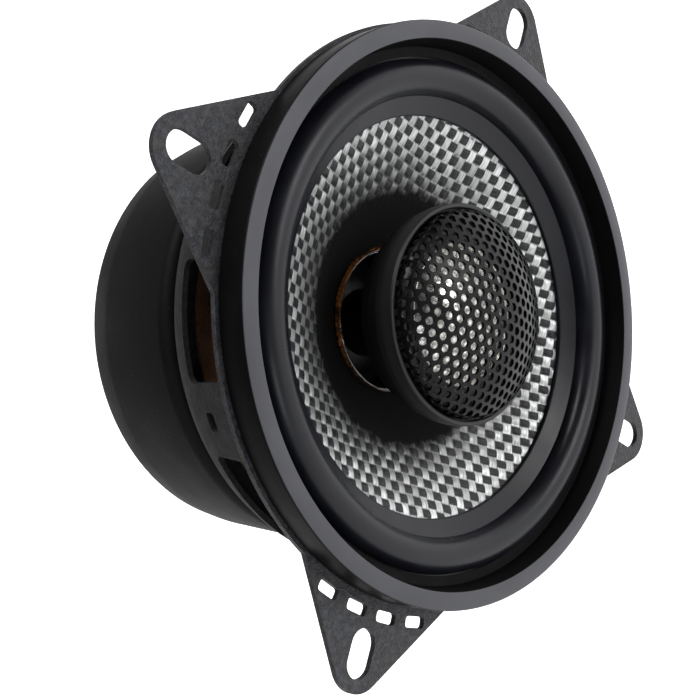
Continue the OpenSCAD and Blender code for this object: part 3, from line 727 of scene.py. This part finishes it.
def basket_holes(sheet, seam):
    """The pressing's slots, windows and holes, as closed outlines on the flat sheet."""
    holes = []

    def polar(points):
        p = np.array(points)
        angle = (np.unwrap(np.arctan2(p[:, 1], p[:, 0])) - seam) % TURN
        if angle.max() - angle.min() > pi:
            angle = np.where(angle < pi, angle + TURN, angle)
        return angle * sheet.scale, np.hypot(p[:, 0], p[:, 1])

    def flat_hole(points, turn, flat):
        s, r = polar(rotated(points, turn))
        holes.append(np.stack([s, sheet.v_of_radius(r, flat)], 1))

    def wall_hole(points, turn):
        """points are distance across and height, pushed straight out through the wall"""
        p = np.array(points)
        r = sheet.radius_of_height(p[:, 1])
        angle = (radians(turn) + np.arcsin(p[:, 0] / r) - seam) % TURN
        holes.append(np.stack([angle * sheet.scale, sheet.v_of_height(p[:, 1])], 1))

    def rect(cx, cy, w, h, r):
        x, y = w / 2, h / 2
        corners = [(cx - x, cy - y, r), (cx + x, cy - y, r), (cx + x, cy + y, r), (cx - x, cy + y, r)]
        return fine(rounded(corners, 6), 1.2)

    slot_at, slot_half, slot_r = 60.3, 1.5, 2.7
    slot = arc(slot_at + slot_half, 0, slot_r, -90, 90, 14)
    slot += arc(slot_at - slot_half, 0, slot_r, 90, 270, 14)
    root_slot, root_pitch = rect(53.5, 0, 2.0, 4.6, 0.6), 7.73
    high, low, half_window, wall_r = -7.0, -16.6, 10, 45
    window = rect(0, (high + low) / 2, 2 * half_window, high - low, 1.2)
    for turn in EARS:
        flat_hole(fine(slot, 1.0), turn, sheet.flange)
        for k in (-1.5, -0.5, 0.5, 1.5):
            flat_hole(root_slot, turn + k * root_pitch, sheet.flange)
        for side in (-1, 1):
            if (turn, side) not in ((EARS[-1], 1), (EARS[0], -1)):
                wall_hole(window, turn + side * WINDOW_TURN)
    for turn in (45, 135, 225):
        wall_hole(rect(0, -13, 3.4, 2.2, 0.5), turn)
    # the windows beside the terminals run into the pocket that holds the board
    far = radians(EARS[-1] + WINDOW_TURN) - asin(half_window / wall_r)
    half_turn = radians(TERMINAL_TURN) - far
    pocket_r, pocket_high, pocket_low = 44.6, -5.0, -20.6
    near = asin(10.2 / pocket_r)
    outline = [
        (-half_turn, high, 1.2), (-near, high, 0.5), (-near, pocket_high, 1.0),
        (near, pocket_high, 1.0), (near, high, 0.5), (half_turn, high, 1.2),
        (half_turn, low, 1.2), (near, low, 0.5), (near, pocket_low, 0.6),
        (-near, pocket_low, 0.6), (-near, low, 0.5), (-half_turn, low, 1.2),
    ]
    p = np.array(fine(rounded([(a * pocket_r, z, r) for a, z, r in outline], 5), 1.2))
    angle = (p[:, 0] / pocket_r + radians(TERMINAL_TURN) - seam) % TURN
    holes.append(np.stack([angle * sheet.scale, sheet.v_of_height(p[:, 1])], 1))
    rivet_circle, rivet_r = 27, 1.7
    for turn in (22.5, 112.5, 202.5, 292.5):
        a = radians(turn)
        ring = arc(rivet_circle * cos(a), rivet_circle * sin(a), rivet_r, 0, 360, 20)[:-1]
        flat_hole(ring, 0, sheet.floor)
    return [[tuple(p) for p in h] for h in holes]


def strip(path, half_width, thickness):
    """A flat strip at the terminals, bent along a path of (distance out, height)."""
    p = np.array(path, float)
    tangent = directions(p)
    normal = np.stack([-tangent[:, 1], tangent[:, 0]], 1) * thickness / 2
    points = []
    for a, n in zip(p, normal):
        for across, side in ((-1, -1), (1, -1), (1, 1), (-1, 1)):
            out, height = a + n * side
            points.append((out, across * half_width, height))
    return from_across(points), tube_faces(len(p), 4)


def build_basket():
    """The pressing with its holes, and the flat pad that is pressed into its wall for the board."""
    sheet = Sheet()
    seam = radians(40)
    outline = basket_outline(sheet, seam)
    holes = basket_holes(sheet, seam)
    flat, triangles = filled(outline, holes, 1.7)
    length = TURN * sheet.scale
    angle = flat[:, 0] / sheet.scale + seam
    layers = []
    for side in (SHEET / 2, -SHEET / 2):
        r, z = sheet.at(flat[:, 1], side)
        layers.append(np.stack([r * np.cos(angle), r * np.sin(angle), z], 1))
    count = len(flat)
    on_seam = (flat[:, 0] < 1e-4) | (flat[:, 0] > length - 1e-4)
    used = {}
    for a, b, c in triangles:
        for pair in ((a, b), (b, c), (c, a)):
            edge = tuple(sorted(pair))
            used[edge] = used.get(edge, 0) + 1
    rim = [e for e, k in used.items() if k == 1 and not (on_seam[e[0]] and on_seam[e[1]])]
    faces = [tuple(t) for t in triangles] + [(c + count, b + count, a + count) for a, b, c in triangles]
    faces += [(a, b, b + count, a + count) for a, b in rim]
    pad_r, pad_top, pad_low = 42.95, -5.1, -21.0
    path = rounded([(45.9, pad_top, 0), (pad_r, pad_top, 0.9), (pad_r, pad_low, 0)], 5)
    points, faces = joined((np.concatenate(layers), faces), strip(path, 3.6, 0.9))
    obj = make("basket_pressing", points, faces, BASKET_PAINT, sharp=40)
    bevel = obj.modifiers.new("edge", "BEVEL")
    bevel.width, bevel.segments = 0.14 * MM, 2
    bevel.limit_method, bevel.angle_limit = "ANGLE", radians(60)
    stands_for("basket")


build_basket()


# -------- trim ring and surround
def build_ring():
    """The ring on the flange, over the edge of the surround."""
    inner, well_shade_r = FOOT_R + 0.2, 47.9
    profile = rounded([
        (inner, 1.0, 0), (RING_R, 1.0, 0.3), (RING_R, RING_FRONT, 0.35), (47.75, RING_FRONT, 0.25),
        (47.25, 2.35, 0.3), (45.5, 2.2, 0.15), (45.5, 2.0, 0.1), (inner, 2.0, 0),
    ], 5)

    def pick(r, z, facing):
        """The flat front is satin and the side glossy; the front's grey is partly painted light, the
        side's black partly painted shade, and the well within the ring is darker still as painted shade.
        """
        front = (facing > 0.75) & (z > RING_FRONT - 0.4)
        return np.where(front, 1, np.where(r < well_shade_r, 2, 0))

    tones = [RING_SIDE, RING_FACE, RING_WELL_SHADE]
    obj = lathe("trim_ring_moulding", profile, tones, 320, sharp=50, pick=pick)
    stands_for("trim_ring")


def cone_front(r):
    """Height of the cone's front face: an arc that is shallow outside and steep inside."""
    outer, inner, radius = np.array([35.8, -1.3]), np.array([13.6, -13.4]), 230.0
    chord = outer - inner
    long = norm(chord)
    across = np.array([chord[1], -chord[0]])
    centre = (outer + inner) / 2 + sqrt(radius**2 - (long / 2) ** 2) * across / long
    return centre[1] + np.sqrt(radius**2 - (np.asarray(r) - centre[0]) ** 2)


def build_surround():
    """The half roll with its foot under the ring and its flange glued on the cone."""
    roll_r, roll_z, outer, thick, weave_r = 42.1, 1.55, 3.2, 0.8, 35.8
    foot = SHEET + 0.06
    land = cone_front(weave_r) + 0.12
    profile = [(FOOT_R, foot), (FOOT_R, foot + thick)]
    profile += arc(roll_r, roll_z, outer, 0, 186, 40)
    profile += [(38.0, cone_front(38.0) + 0.95), (37.0, cone_front(37.0) + 0.82)]
    profile += [(weave_r + 0.25, land + thick), (weave_r + 0.05, land + thick - 0.12)]
    profile += [(weave_r, land + 0.5), (weave_r, land), (38.6, cone_front(38.4) + 0.2)]
    profile += arc(roll_r, roll_z, outer - thick, 190, 0, 40)
    profile += [(roll_r + outer - thick + 0.3, foot)]
    obj = lathe("surround_roll", profile, SURROUND_RUBBER, 320, sharp=45, body=None)
    bends(obj, lambda r, z: (roll_r + outer - r) / (2 * outer))
    stands_for("surround")


build_ring()
build_surround()


# -------- cone and its neck
def weave_height(x, y):
    """Height of the woven face, from -1 where a yarn dives under to 1 on the crowns."""
    c, s = cos(WEAVE_TURN), sin(WEAVE_TURN)
    u, v = (x * c + y * s) / WEAVE_U, (y * c - x * s) / WEAVE_V
    odd = np.mod(np.floor(u) + np.floor(v), 2) > 0.5
    part_u, part_v = u % 1 - 0.5, v % 1 - 0.5
    silver = np.cos(pi * part_u) * (1 - (2 * np.abs(part_v)) ** 3 * 0.5)
    black = np.cos(pi * part_v) * (1 - np.clip(np.abs(part_u) / BLACK_HALF, 0, 1.25) ** 4)
    return 2 * np.where(odd, black, silver) - 1


def build_cone():
    """The cone, with the crowns of its yarns as relief on the front."""
    inner, outer, thick = FORMER_R + 0.06, CONE_R, 0.62
    rings, segments, relief = 112, 864, 0.1
    radii = np.linspace(outer, inner, rings)
    back = np.linspace(inner, outer, 9)
    profile = [(r, cone_front(r) - relief) for r in radii]
    profile += [(r, cone_front(r) - thick) for r in back]

    def warp(r, a, z):
        lift = weave_height(r * np.cos(a), r * np.sin(a)) * relief
        fade = np.interp(r, [inner + 0.3, 21, 25, 36.6, 37.6], [0, 0.15, 1, 1, 0])
        lift[:, rings:] = 0
        return r, z + lift * fade

    obj = lathe(
        "cone_weave", profile, [CONE_WEAVE, CONE_BACK], segments, warp, body="woofer", sharp=60,
        pick=lambda r, z, facing: facing < 0,
    )
    stands_for("cone")


def build_glue():
    """The bead between cone and former, a little uneven round the neck."""
    base = FORMER_R + 0.07

    def warp(r, a, z):
        swell = 0.16 * np.sin(5 * a + 0.6) + 0.12 * np.sin(11 * a + 1.9) + 0.08 * np.sin(23 * a)
        out = (r - base) / 1.3
        return r + out * swell, z + np.where(out > 0.1, swell * 0.5 * (1 - out), 0)

    low = cone_front(base + 1.2) + 0.03
    profile = rounded([
        (base, low - 0.6, 0), (base, low + 0.9, 0.2), (base + 0.3, low + 0.8, 0.4),
        (base + 0.75, low + 0.05, 0.2), (base + 0.7, low - 0.1, 0),
    ], 4)
    obj = lathe("neck_glue_bead", profile, GLUE, 180, warp, body="woofer", sharp=80)
    stands_for("neck_glue_ring")


def build_coil():
    """The former, bright outside and at its front edge and darkened inside as painted shade, and the
    wire wound on it.
    """
    inner = FORMER_R - 0.25
    rear = [(inner, FORMER_REAR, 0.05), (FORMER_R, FORMER_REAR, 0.05)]
    profile = rounded(rear + [(FORMER_R, FORMER_FRONT, 0.08), (inner, FORMER_FRONT, 0.08)], 3)
    former = lathe(
        "former_tube", profile, [ALUMINIUM, FORMER_INSIDE_SHADE], 256, body="woofer",
        pick=lambda r, z, facing: (r < inner + 0.05) & (z < FORMER_FRONT - 0.5),
    )
    stands_for("voice_coil_former")
    wire = 0.15
    turns = int((WINDING_FRONT - WINDING_REAR) / (2 * wire))
    outline = [(FORMER_R + 0.02, WINDING_FRONT), (FORMER_R + 0.02, WINDING_REAR)]
    for k in range(turns):
        z = WINDING_REAR + wire * (2 * k + 1)
        outline += arc(WINDING_R - wire, z, wire, -80, 80, 4)
    winding = lathe("copper_winding", outline, COPPER, 128, body="woofer", sharp=70)
    stands_for("voice_coil_winding")


def build_spider():
    """The damper: corrugated cloth between the former and a cupped rim on the basket's floor."""
    inner, thick, level, waves = FORMER_R + 0.06, 0.42, -16.6, 5
    cup, floor = 34.4, SPIDER_REAR
    start, end = inner + 1.6, cup - 1.6
    corners = [(inner, level, 0)]
    for t in np.linspace(0, 1, 101):
        corners.append((start + (end - start) * t, level + 0.55 * sin(TURN * waves * t), 0))
    corners += [(cup - 0.6, level, 0.5), (cup, floor, 0.4), (SPIDER_R, floor, 0)]
    front = np.array(rounded(corners, 4))
    slope = directions(front)
    shift = np.stack([np.clip(-slope[:, 1], 0, 1), np.clip(slope[:, 0], 0.2, 1)], 1) * thick
    profile = np.concatenate([front, (front + shift)[::-1]])
    obj = lathe("spider_corrugated", profile, SPIDER_CLOTH, 256, body=None, sharp=70)
    bends(obj, lambda r, z: (cup - 1.0 - r) / (cup - 1.0 - start))
    stands_for("spider")


build_cone()
build_glue()
build_coil()
build_spider()


# -------- rubber boot
def build_boot():
    """The boot over the motor, with a channel inside its wall for the tweeter's two leads."""
    inner, floor = 36.7, -50.8
    profile = rounded([
        (0.0, BOOT_REAR + 0.5, 0), (32.6, BOOT_REAR + 0.5, 0.8), (33.8, BOOT_REAR, 0.8),
        (38.9, BOOT_REAR, 2.6), (40.1, -46.0, 8.0), (BOOT_R, BOOT_FRONT, 2.2),
        (inner + 0.2, BOOT_FRONT, 0.7), (inner, floor, 0.3), (0.0, floor, 0),
    ], 7)

    def warp(r, a, z):
        turn = np.angle(np.exp(1j * (a - radians(TERMINAL_TURN))))
        channel = np.clip((1.9 - np.abs(turn * 37)) / 0.3, 0, 1)
        within = (r > inner - 0.5) & (r < inner + 1.4) & (z > floor - 0.1)
        ripple = 0.05 * np.sin(3 * a + 0.4) + 0.04 * np.sin(7 * a)
        outside = (r > 38) & (z > BOOT_REAR + 0.5)
        grown = np.where(outside, r - 0.06 + ripple * (z - BOOT_REAR) / 27, r)
        return np.where(within, r + 1.7 * channel, grown), z

    obj = lathe("boot_moulding", profile, BOOT_RUBBER, 480, warp, sharp=40)
    stands_for("magnet_boot")


build_boot()


# -------- tweeter
HOLE_PITCH, HOLE_R = 2.14, 0.73
GRILLE_T = 0.6
HOLE_EDGE = 0.07  # the rounding at a hole's front edge


def build_grille():
    """A perforated dome: hexagonal cells with a round hole each, pressed over the dome's profile."""
    edge_z = 7.7
    crown = GRILLE_FRONT - edge_z
    dome_r = (GRILLE_R**2 + crown**2) / (2 * crown)
    lean = asin(GRILLE_R / dome_r)
    arc_length = dome_r * lean
    bend = 1.2

    # the profile against distance from the crown: radius, height and slope
    steps = []
    for s in np.linspace(0, arc_length - bend, 60):
        a = s / dome_r
        steps.append((s, dome_r * sin(a), GRILLE_FRONT - dome_r * (1 - cos(a)), a))
    a0 = (arc_length - bend) / dome_r
    r0, z0 = steps[-1][1:3]
    bend_r = (GRILLE_R - r0) / (1 - sin(a0))
    for a in np.linspace(a0, pi / 2, 12)[1:]:
        s = steps[-1][0] + bend_r * (a - steps[-1][3])
        r = r0 + bend_r * (sin(a) - sin(a0))
        steps.append((s, r, z0 - bend_r * (cos(a0) - cos(a)), a))
    s1, r1, z1, _ = steps[-1]
    steps.append((s1 + z1 - GRILLE_REAR, r1, GRILLE_REAR, pi / 2))
    table = np.array(steps)
    limit = table[-1, 0]

    turn, sixth, sides = radians(37), pi / 3, 18
    across, slanted = (
        np.array([cos(turn + k * sixth), sin(turn + k * sixth)]) * HOLE_PITCH for k in (0, 1)
    )
    around = np.linspace(0, TURN, sides, endpoint=False) + turn + pi / 6
    hex_r = HOLE_PITCH / sqrt(3)
    cell = hex_r * (np.cos(pi / 6) / np.cos((around - turn + pi / 6) % sixth - pi / 6))
    hole = np.full(sides, HOLE_R)
    rings = [
        (cell, 0), (np.full(sides, HOLE_R + HOLE_EDGE), 0), (hole, HOLE_EDGE),
        (hole, GRILLE_T - 0.05), (np.full(sides, HOLE_R + 0.06), GRILLE_T), (cell, GRILLE_T),
    ]
    cell_faces = tube_faces(len(rings), sides)[:-2]
    points, faces = [], []
    count = 2 * (int(limit / HOLE_PITCH) + 3)
    for i in range(-count, count + 1):
        for j in range(-count, count + 1):
            centre = across * i + slanted * j
            if np.hypot(*centre) > limit + 1.0:
                continue
            base = len(points)
            for radius, sunk in rings:
                for a, rad in zip(around, radius):
                    points.append((centre[0] + rad * cos(a), centre[1] + rad * sin(a), sunk))
            faces += [tuple(base + corner for corner in face) for face in cell_faces]
    p = np.array(points)
    s = np.hypot(p[:, 0], p[:, 1])
    a = np.arctan2(p[:, 1], p[:, 0])
    s = np.minimum(s, limit)
    r, z, tilt = (np.interp(s, table[:, 0], table[:, k]) for k in (1, 2, 3))
    r = r - p[:, 2] * np.sin(tilt)
    z = z - p[:, 2] * np.cos(tilt)
    placed = np.stack([r * np.cos(a), r * np.sin(a), z], 1)
    obj = make("grille_perforated", placed, faces, GRILLE_PAINT, sharp=40)
    work = bmesh.new()
    work.from_mesh(obj.data)
    loose = [f for f in work.faces if f.calc_area() < 1e-12]
    bmesh.ops.delete(work, geom=loose, context="FACES")
    rim = [e for e in work.edges if e.is_boundary]
    bmesh.ops.holes_fill(work, edges=rim, sides=4)
    work.to_mesh(obj.data)
    work.free()
    stands_for("tweeter_grille")


def build_pod():
    """The tweeter's housing: a cup with a boss behind it, on the post."""
    tube_r, seat_r, seat_z, wall_r, wall_rear, boss_r = 4.02, 15.35, -2.2, 16.3, -4.0, 14.0
    mouth, shelf, lip = GRILLE_R + 0.3, 3.6, 5.2
    profile = rounded([
        (mouth, lip, 0), (mouth, POD_FRONT, 0.25), (POD_R, POD_FRONT, 0.4), (POD_R, 4.0, 3.0),
        (POD_R - 0.3, 2.4, 2.0), (POD_R - 1.2, -0.2, 1.0), (POD_R - 2.2, -1.2, 0.8),
        (wall_r, -1.2, 0.3), (wall_r, wall_rear, 0.4),
        (boss_r, wall_rear, 0.3), (boss_r, POD_REAR, 0.5), (tube_r, POD_REAR, 0), (tube_r, seat_z, 0),
        (seat_r, seat_z, 0), (seat_r, 0.2, 0), (16.2, 0.2, 0), (16.6, 0.8, 0), (16.6, shelf, 0),
        (17.6, shelf, 0), (17.6, lip, 0),
    ], 6)
    obj = lathe("pod_moulding", profile, POD_PLASTIC, 256, sharp=45)
    stands_for("tweeter_housing")


def build_dome():
    """The metal dome with a beaded edge, and the small roll that it hangs from."""
    cap = (DOME_R**2 + (DOME_FRONT - DOME_REAR) ** 2) / (2 * (DOME_FRONT - DOME_REAR))
    lean = degrees(asin((DOME_R - 0.15) / cap))
    middle = DOME_FRONT - cap
    outer = arc(0, middle, cap, 90 - lean, 90, 28)
    inner = arc(0, middle, cap - 0.2, 90, 90 - lean, 28)
    bead = arc(DOME_R + 0.02, DOME_REAR + 0.4, 0.2, -90, 160, 8)
    profile = [(DOME_R - 0.1, DOME_REAR)] + bead + outer + inner + [(DOME_R - 0.4, DOME_REAR)]
    obj = lathe("dome_shell", profile, DOME_METAL, 192, body="tweeter_diaphragm", sharp=50)
    stands_for("tweeter_dome")
    film, roll, middle_r, middle_z = 0.18, 0.62, 13.4, 4.75
    rim_r, low, high = 15.3, 4.46, 4.64
    profile = [(rim_r, low), (rim_r, high), (middle_r + 0.83, high)]
    profile += arc(middle_r, middle_z, roll + film, -6, 180, 18)
    profile += arc(middle_r, middle_z, roll, 180, -18, 18) + [(middle_r + 0.73, low)]
    suspension = lathe("tweeter_roll", profile, FILM, 192, body=None, sharp=50)
    bends(suspension, lambda r, z: (14.3 - r) / 1.7)
    stands_for("tweeter_suspension")


build_grille()
build_pod()
build_dome()


# -------- leads, capacitor and solder
TINSEL_ROUTE = [
    (42.75, 7, -12.9), (41.6, 7.1, -13.5), (40, 7.1, -13.9), (38, 6.9, -14), (36, 6.7, -13.6),
    (34, 6.5, -13.1), (32, 6.2, -12.6), (30, 5.9, -12.1), (28, 5.6, -11.6), (26, 5.3, -10.8),
    (24.4, 5, -10), (23, 4.7, -9.6),
]
POSITIVE_START = [
    (39.2, 6.6, -8.6), (39, 7, -9.6), (38.9, 6.5, -11.2), (39.2, 5.4, -12.9), (40.2, 4.8, -15),
    (41.4, 4.5, -17.2), (42.8, 4.3, -18.8), (43.75, 4.1, -19.9), (44.15, 3, -21.3), (43.9, 1.2, -23),
    (42.8, 0, -24.2), (41, -0.7, -24.6), (39, -0.8, -24.8),
]
NEGATIVE_START = [
    (42.6, 7, -11), (41.6, 6.6, -12), (41.3, 6.1, -14.6), (41.8, 5.8, -16.8), (42.8, 5.5, -18.6),
    (43.75, 5.2, -19.9), (44.15, 4.1, -21.3), (43.9, 2.6, -23), (42.8, 1.5, -24.2), (41, 1, -24.6),
    (39, 0.8, -24.8),
]
LEAD_ROUTE = [
    (37.9, -25.3), (37.4, -26.6), (37.3, -28.4), (37.3, -33), (37.3, -38), (37.3, -44), (37.3, -48.4),
    (36.6, -49.9), (35, -50.2), (28, -50.2), (18, -50.2), (8, -50.2), (2.6, -50.2), (1, -49.4),
    (0.2, -47), (0, -42), (0, -34), (0, -24), (0, -14), (0, -7.5), (0.6, -5.4), (2, -4.95),
    (6, -4.95), (10.6, -4.95), (12.1, -4.6), (12.6, -3.6), (13.1, -2.85), (14, -2.75),
    (14.7, -2.2), (14.8, -1.2), (14.8, 0.6), (14.8, 3.5),
]
JUMPER_ROUTE = [
    (39.2, -6.6, -8.6), (39.6, -7.3, -9), (40.6, -7.6, -9.5), (41.7, -7.4, -10.2), (42.6, -7, -11),
]
WIRE_R = 0.43


def wire(route, per_span):
    """Points and faces of an insulated wire along a route at the terminals."""
    return tube(spline(from_across(route), per_span), WIRE_R, 16)


def build_leads():
    """The tinsel braids, the tweeter's two wires and the capacitor's own."""
    for side, name in ((-1, "positive"), (1, "negative")):
        path = spline(from_across([(x, side * across, z) for x, across, z in TINSEL_ROUTE]), 10)
        strands = [tube(path, 0.21, 8, 0.45, 0.23, TURN * k / 3) for k in range(3)]
        braid = make(f"tinsel_braid_{name}", *joined(*strands), TINSEL, body=None, sharp=60)
        bends(braid, lambda r, z: (42.0 - r) / 17.0)
        stands_for(f"tinsel_lead_{name}")
        start = POSITIVE_START if side < 0 else NEGATIVE_START
        route = start + [(x, side * 0.7, z) for x, z in LEAD_ROUTE]
        colour = RED_WIRE if side < 0 else BLACK_WIRE
        lead = make(f"tweeter_wire_{name}", *wire(route, 6), colour)
        stands_for(f"tweeter_lead_{name}")
    jumper = make("capacitor_wire", *wire(JUMPER_ROUTE, 8), RED_WIRE)
    stands_for("capacitor_jumper")


def build_joints():
    """A lump of solder where each lead, tinsel braid and leg of the capacitor is fixed."""
    spots = [(42.5, side * LEAD_X, z) for side in (-1, 1) for z in (-11.0, -12.9)]
    spots += [(39.2, side * 6.7, -8.6) for side in (-1, 1)]
    lumps, around, gap = [], 20, 0.12
    outline = [(0.95 * sin(t), 0.8 * cos(t)) for t in np.linspace(gap, pi - gap, 9)]
    count = len(outline)
    for k, spot in enumerate(from_across(spots)):
        points, faces = turned(outline, around, lambda r, a, z: (r * (1 + 0.13 * np.sin(2 * a + k)), z))
        # the outline is open at the axis, so its closing faces go and two round ones fill the ends
        faces = [tuple(f) for i, f in enumerate(faces) if (i + 1) % count]
        for end in (0, count - 1):
            faces.append(tuple(range(end, around * count, count)))
        lumps.append((points + spot, faces))
    joints = make("solder_joints", *joined(*lumps), SOLDER, sharp=70)


build_leads()
build_joints()


# -------- CAD nodes that keep their own shape
OWN_SHAPE = {
    "top_plate yoke": BLACK_STEEL,
    "magnet": FERRITE,
    "basket_rivets terminal_negative terminal_rivets": TIN,
    "post_tube post_nut terminal_positive": BRASS,
    "post_spacer tweeter_mount_ring": POD_PLASTIC,
    "post_washer tweeter_cup tweeter_pole_plate": STEEL,
    "terminal_board": BOARD,
    "capacitor": SLEEVE,
    "tweeter_magnet": NICKEL,
    "tweeter_former": ALUMINIUM,
    "tweeter_winding": COPPER,
}
for nodes, material in OWN_SHAPE.items():
    for node in nodes.split():
        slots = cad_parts[node].data.materials
        slots.clear()
        slots.append(material)


# -------- camera, lights and floor
def build_camera():
    """The photograph's view: where it looks, how far off it is and how far it is rolled."""
    azimuth, elevation, roll = (radians(a) for a in (-22.141, 39.32, 60.369))
    aim, distance = Vector((-9.589, 11.538, 8.636)) * MM, 220.88 * MM
    flat = cos(elevation)
    back = Vector((sin(azimuth) * flat, -cos(azimuth) * flat, sin(elevation)))
    level_right = (-back).cross(Vector((0, 0, 1))).normalized()
    level_up = level_right.cross(-back)
    up = level_up * cos(roll) + level_right * sin(roll)
    right = (-back).cross(up)
    data = bpy.data.cameras.new("camera")
    data.lens, data.sensor_width = 63.8, 36.0
    camera = linked("camera", data)
    camera.rotation_mode = "QUATERNION"
    camera.rotation_quaternion = Matrix((right, up, back)).transposed().to_quaternion()
    camera.location = aim + back * distance
    data.clip_start, data.clip_end = 0.01, 10.0
    bpy.context.scene.camera = camera


def area_light(name, place, size, power, colour=(1, 1, 1)):
    """A round soft light that faces the speaker. power is in watts."""
    data = bpy.data.lights.new(name, "AREA")
    data.color = colour
    data.shape, data.size, data.energy = "DISK", size, power
    lamp = linked(name, data)
    lamp.location = place
    lamp.rotation_mode = "QUATERNION"
    lamp.rotation_quaternion = (-Vector(place)).to_track_quat("-Z", "Y")


def build_stage():
    """The floor, a sky that is bright at the horizon, and the lights."""
    half, floor_z = 4.0, -EAR_TIP_R * MM - 0.06
    mesh = bpy.data.meshes.new("floor")
    corners = [(x * half, y * half, floor_z) for x, y in ((-1, -1), (1, -1), (1, 1), (-1, 1))]
    mesh.from_pydata(corners, [], [(0, 1, 2, 3)])
    mesh.materials.append(floor_white())
    floor = linked("floor", mesh)
    world = bpy.data.worlds.new("studio")
    world.use_nodes = True
    sky = world.node_tree.nodes
    split = sky.new("ShaderNodeSeparateXYZ")
    band = sky.new("ShaderNodeMapRange")
    for key, value in (("From Min", 0.0), ("From Max", 0.4), ("To Min", 0.95), ("To Max", 0.1)):
        band.inputs[key].default_value = value
    sky["Background"].inputs["Color"].default_value = (1, 1, 1, 1)
    link = world.node_tree.links.new
    link(sky.new("ShaderNodeTexCoord").outputs["Generated"], split.inputs[0])
    link(split.outputs["Z"], band.inputs["Value"])
    link(band.outputs[0], sky["Background"].inputs["Strength"])
    bpy.context.scene.world = world
    area_light("overhead", (0.38, -0.14, 0.80), 0.5, 6.2)
    area_light("window", (-0.45, -0.70, 0.30), 0.3, 0.9, (0.9, 0.95, 1.0))
    area_light("right", (0.40, -0.80, -0.02), 0.4, 2.6)
    area_light("rear", (0.0, 1.0, 0.13), 0.3, 0.6)
    bpy.context.scene.view_settings.view_transform = "Standard"


build_camera()
build_stage()
